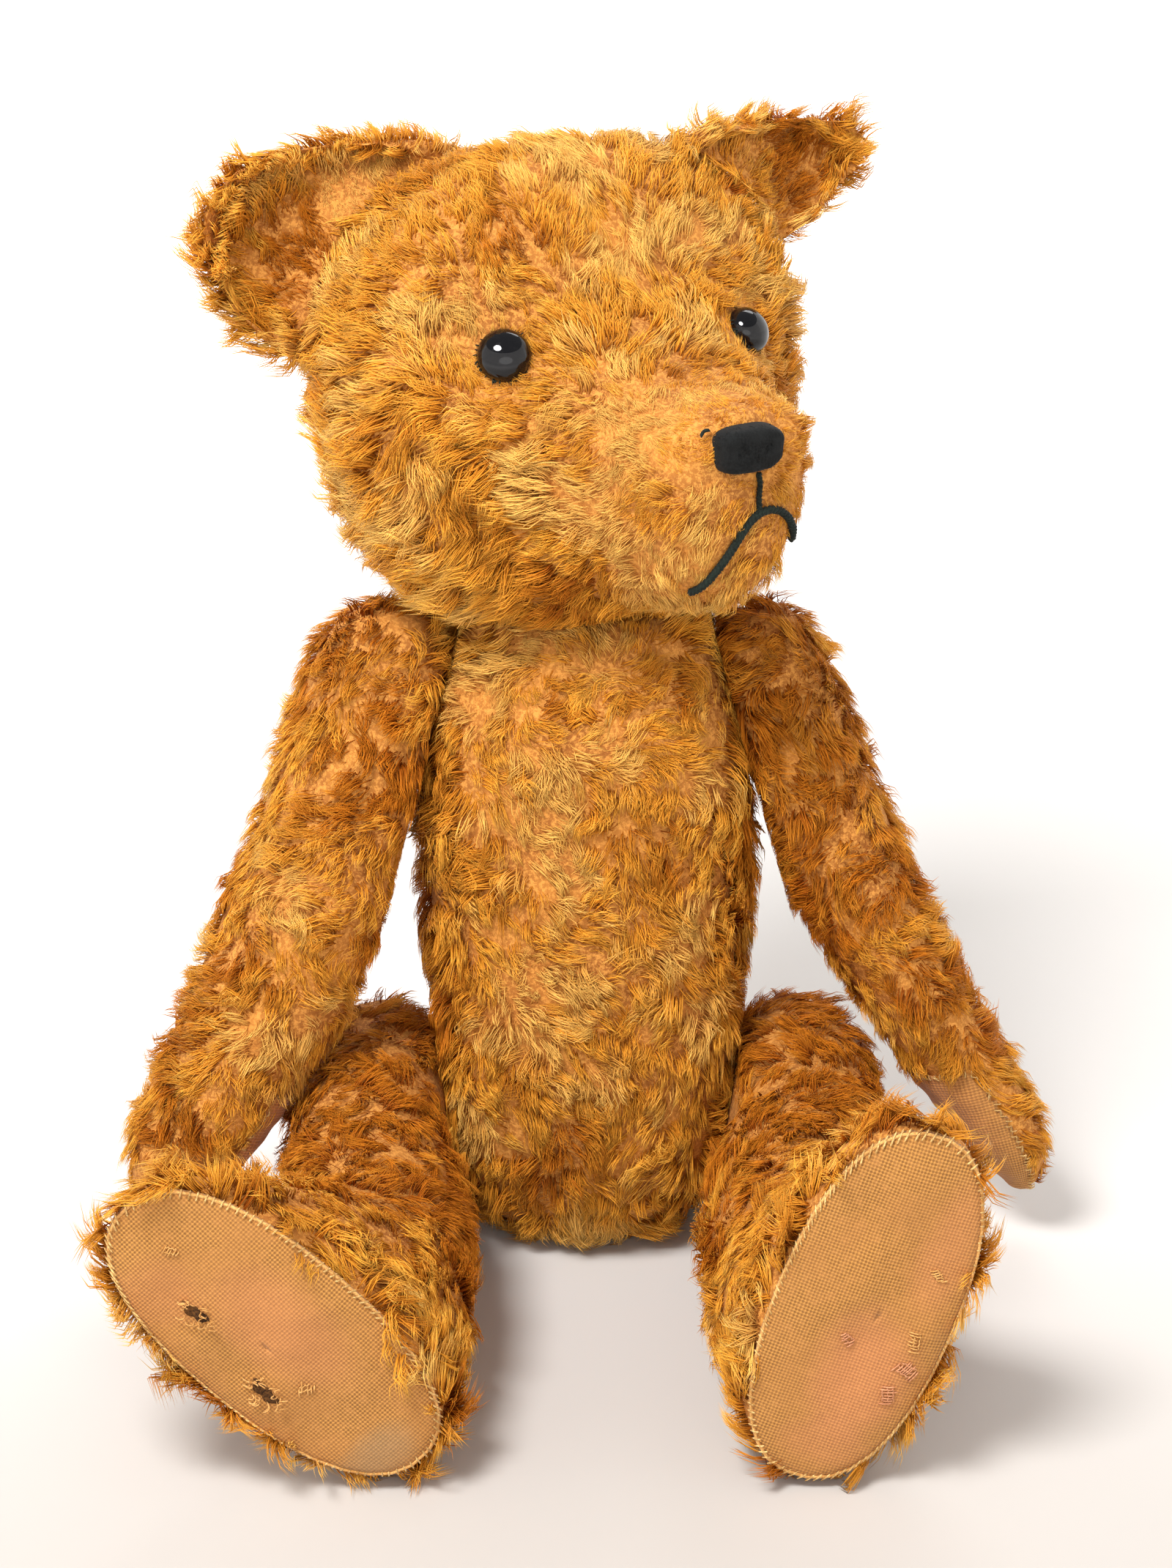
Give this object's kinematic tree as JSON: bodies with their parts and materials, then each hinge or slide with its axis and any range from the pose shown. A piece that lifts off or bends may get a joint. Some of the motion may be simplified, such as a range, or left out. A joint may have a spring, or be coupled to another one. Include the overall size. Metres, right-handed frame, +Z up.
{
  "type": "jointed teddy bear",
  "caption": "Seated plush bear of golden brown pile cloth with a turned head, cupped ears, black eyes, stitched nose and mouth, linen soles, and disc joints at neck, shoulders and hips.",
  "frame": {"origin": "centre of the flat seat, on the floor", "axes": "+Z up, the torso faces -Y, +X is the bear's left"},
  "size_m": [0.307, 0.2699, 0.3687],
  "materials": {
    "plush": "long golden brown pile on a woven backing, worn in places",
    "linen": "coarse tan linen, stained and darned",
    "stuffing": "loose fibre, hidden",
    "board": "pressed board, hidden",
    "steel": "plain steel, hidden",
    "eye_glass": "glossy black",
    "nose_stitch": "close black stitching",
    "thread": "thick black-green cotton thread"
  },
  "bodies": {
    "torso": {"torso_left": "plush", "torso_right": "plush", "torso_stuffing": "stuffing", "torso_neck_disc": "board", "torso_shoulder_discs": "board", "torso_hip_discs": "board", "torso_washers": "steel"},
    "head": {"head_side_left": "plush", "head_side_right": "plush", "head_gusset": "plush", "head_stuffing": "stuffing", "ear_left_front": "plush", "ear_left_back": "plush", "ear_right_front": "plush", "ear_right_back": "plush", "eye_left": "eye_glass", "eye_right": "eye_glass", "eye_shanks": "steel", "nose": "nose_stitch", "lip_thread": "thread", "mouth_thread": "thread", "head_disc": "board", "head_washer": "steel", "neck_pin": "steel"},
    "arm_left": {"arm_left_outer": "plush", "arm_left_inner": "plush", "arm_left_pad": "linen", "arm_left_stuffing": "stuffing", "arm_left_disc": "board", "arm_left_washer": "steel", "arm_left_pin": "steel"},
    "arm_right": {"arm_right_outer": "plush", "arm_right_inner": "plush", "arm_right_pad": "linen", "arm_right_stuffing": "stuffing", "arm_right_disc": "board", "arm_right_washer": "steel", "arm_right_pin": "steel"},
    "leg_left": {"leg_left_outer": "plush", "leg_left_inner": "plush", "leg_left_sole": "linen", "leg_left_insole": "board", "leg_left_stuffing": "stuffing", "leg_left_disc": "board", "leg_left_washer": "steel", "leg_left_pin": "steel"},
    "leg_right": {"leg_right_outer": "plush", "leg_right_inner": "plush", "leg_right_sole": "linen", "leg_right_insole": "board", "leg_right_stuffing": "stuffing", "leg_right_disc": "board", "leg_right_washer": "steel", "leg_right_pin": "steel"}
  },
  "joints": [
    {"name": "neck_turn", "type": "hinge", "parent": "torso", "child": "head", "pos_m": [-0.004, 0, 0.221], "axis": [0.0175, 0, 0.9998], "continuous": true},
    {"name": "left_shoulder", "type": "hinge", "parent": "torso", "child": "arm_left", "pos_m": [0.048, 0.002, 0.189], "axis": [-0.9659, 0, -0.2588], "range_deg": [-100, 75]},
    {"name": "right_shoulder", "type": "hinge", "parent": "torso", "child": "arm_right", "pos_m": [-0.048, 0.002, 0.189], "axis": [-0.9659, 0, 0.2588], "range_deg": [-100, 70]},
    {"name": "left_hip", "type": "hinge", "parent": "torso", "child": "leg_left", "pos_m": [0.046, -0.006, 0.04], "axis": [-0.9877, 0, 0.1564], "range_deg": [-95, 12]},
    {"name": "right_hip", "type": "hinge", "parent": "torso", "child": "leg_right", "pos_m": [-0.046, -0.006, 0.04], "axis": [-0.9877, 0, -0.1564], "range_deg": [-95, 3]}
  ]
}
